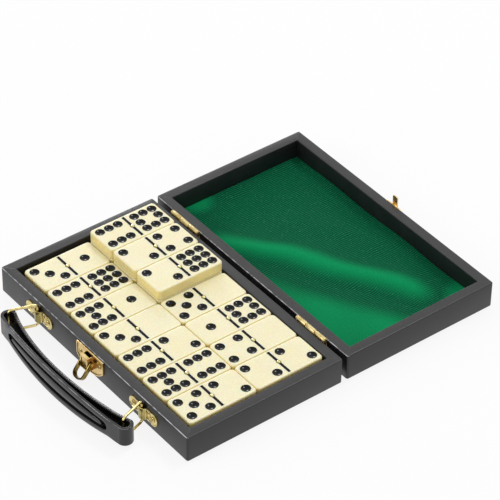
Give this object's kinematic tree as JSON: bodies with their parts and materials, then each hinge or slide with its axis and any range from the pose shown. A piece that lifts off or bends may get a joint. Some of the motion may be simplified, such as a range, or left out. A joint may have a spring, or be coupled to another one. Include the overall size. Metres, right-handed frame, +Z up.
{
  "type": "domino storage case",
  "caption": "Slim leatherette case for dominoes, lying open: a tray of ivory tiles in front, a cloth-lined lid hinged behind it, a handle on rings and a pull-ring latch.",
  "frame": {"origin": "on the surface that the open case lies on, under the middle of its bounding box", "axes": "+Z up; +X along the hinge side; +Y from the handle across the tray and the hinges to the lid's far side"},
  "size_m": [0.189, 0.2616, 0.026],
  "materials": {
    "leatherette": "fine-grained black leatherette, semi-matte",
    "board": "bare board under the covering",
    "green_cloth": "green ribbed cloth",
    "latch_brass": "polished brass plating, slightly orange",
    "pale_brass": "pale brass plating, polished",
    "handle_plastic": "glossy black moulded plastic",
    "ivory": "cast resin, ivory, polished",
    "pip_black": "glossy black paint in the pips",
    "tile_brass": "polished brass pin"
  },
  "bodies": {
    "tray": {"tray_wall_front": "board", "tray_wall_back": "board", "tray_wall_left": "board", "tray_wall_right": "board", "tray_floor": "board", "tray_covering": "leatherette", "tray_lining": "green_cloth", "hinge_left_tray_leaf": "latch_brass", "hinge_left_pin": "latch_brass", "hinge_right_tray_leaf": "latch_brass", "hinge_right_pin": "latch_brass", "hinge_tray_screws": "latch_brass", "latch_plate": "latch_brass", "latch_housing": "latch_brass", "latch_pin": "latch_brass", "latch_screws": "latch_brass", "bracket_left": "pale_brass", "bracket_right": "pale_brass", "bracket_left_screws": "pale_brass", "bracket_right_screws": "pale_brass", "tile_3_1": "ivory", "tile_6_9": "ivory", "tile_7_1": "ivory", "tile_3_0": "ivory", "tile_6_2": "ivory", "tile_7_6": "ivory", "tile_5_2": "ivory", "tile_6_8": "ivory", "tile_2_4": "ivory", "tile_2_9": "ivory", "tile_5_0": "ivory", "tile_1_8": "ivory", "tile_4_0": "ivory", "tile_2_2": "ivory", "tiles_under_front": "ivory", "tiles_under_back": "ivory", "tiles_under_raised": "ivory", "tile_pips": "pip_black", "tile_pins": "tile_brass"},
    "lid": {"lid_wall_front": "board", "lid_wall_back": "board", "lid_wall_left": "board", "lid_wall_right": "board", "lid_panel": "board", "lid_covering": "leatherette", "lid_lining": "green_cloth", "hinge_left_lid_leaf": "latch_brass", "hinge_right_lid_leaf": "latch_brass", "hinge_lid_screws": "latch_brass", "keeper_plate": "latch_brass", "keeper_screws": "latch_brass"},
    "latch": {"latch_ring": "latch_brass"},
    "ring_left": {"ring_left": "pale_brass"},
    "ring_right": {"ring_right": "pale_brass"},
    "handle": {"handle_outer": "handle_plastic", "handle_inner": "handle_plastic", "handle_core": "handle_plastic"}
  },
  "joints": [
    {"name": "lid_hinge", "type": "hinge", "parent": "tray", "child": "lid", "pos_m": [0, 0.01388, 0.01815], "axis": [1, 0, 0], "range_deg": [0, 180]},
    {"name": "latch_pull", "type": "hinge", "parent": "tray", "child": "latch", "pos_m": [0, -0.10387, 0.0109], "axis": [-1, 0, 0], "range_deg": [-38, 60]},
    {"name": "ring_left_turn", "type": "hinge", "parent": "tray", "child": "ring_left", "pos_m": [-0.0529, -0.10242, 0.0095], "axis": [0, 0, 1], "range_deg": [-20, 20]},
    {"name": "ring_right_turn", "type": "hinge", "parent": "tray", "child": "ring_right", "pos_m": [0.0529, -0.10242, 0.0095], "axis": [0, 0, 1], "range_deg": [-20, 20]},
    {"name": "handle_turn", "type": "hinge", "parent": "ring_left", "child": "handle", "pos_m": [-0.05849, -0.11963, 0.0095], "axis": [0, 0, 1], "range_deg": [-19, 19]}
  ],
  "couplings": [
    {"joint": "ring_right_turn", "follows": "ring_left_turn", "ratio": 1},
    {"joint": "handle_turn", "follows": "ring_left_turn", "ratio": -0.9044}
  ]
}
